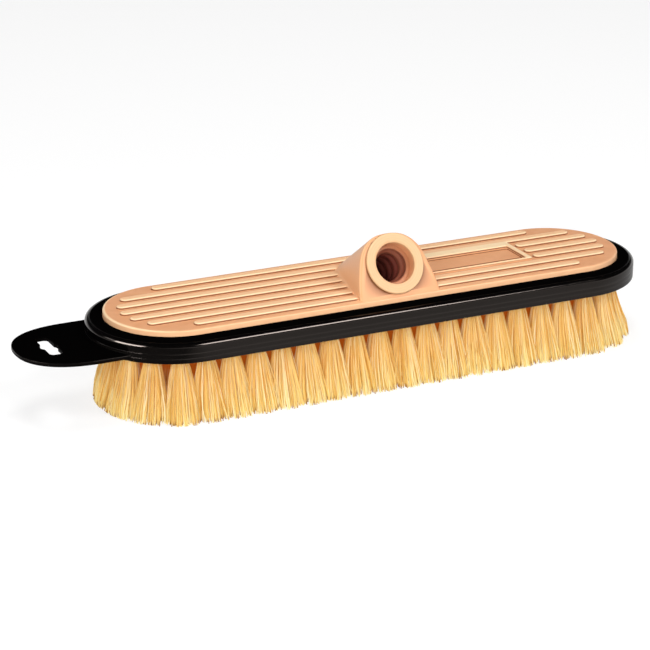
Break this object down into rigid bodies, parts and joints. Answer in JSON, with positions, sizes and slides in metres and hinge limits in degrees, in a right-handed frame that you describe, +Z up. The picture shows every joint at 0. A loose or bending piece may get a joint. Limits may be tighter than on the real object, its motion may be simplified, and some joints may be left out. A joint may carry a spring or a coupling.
{
  "type": "flow-through wash brush",
  "caption": "Long oval wash brush head: ribbed plastic block with an angled threaded handle socket and a water channel, black vinyl bumper with a hang tab, and flared bristle tufts.",
  "frame": {"origin": "under the middle of the whole object, hang tab included, on the surface that the bristle tips stand on", "axes": "+X along the block, away from the hang tab; -Y towards the side that the handle socket leans to; +Z up"},
  "size_m": [0.4014, 0.1012, 0.0885],
  "materials": {
    "block_plastic": "moulded structural foam, satin, faint swirl",
    "bumper_vinyl": "glossy black flexible vinyl",
    "gasket_rubber": "matt black sheet rubber",
    "bristle_fibre": "cream synthetic bristle, flagged tips"
  },
  "bodies": {
    "root": {"top_block": "block_plastic", "tuft_block": "block_plastic", "chamber_gasket": "gasket_rubber", "bumper": "bumper_vinyl", "tuft_row_01": "bristle_fibre", "tuft_row_02": "bristle_fibre", "tuft_row_03": "bristle_fibre", "tuft_row_04": "bristle_fibre", "tuft_row_05": "bristle_fibre", "tuft_row_06": "bristle_fibre", "tuft_row_07": "bristle_fibre", "tuft_row_08": "bristle_fibre", "tuft_row_09": "bristle_fibre", "tuft_row_10": "bristle_fibre", "tuft_row_11": "bristle_fibre", "tuft_row_12": "bristle_fibre", "tuft_row_13": "bristle_fibre", "tuft_row_14": "bristle_fibre", "tuft_row_15": "bristle_fibre", "tuft_row_16": "bristle_fibre", "tuft_row_17": "bristle_fibre", "tuft_row_18": "bristle_fibre", "tuft_row_19": "bristle_fibre", "tuft_row_20": "bristle_fibre", "tuft_row_21": "bristle_fibre"}
  },
  "joints": []
}
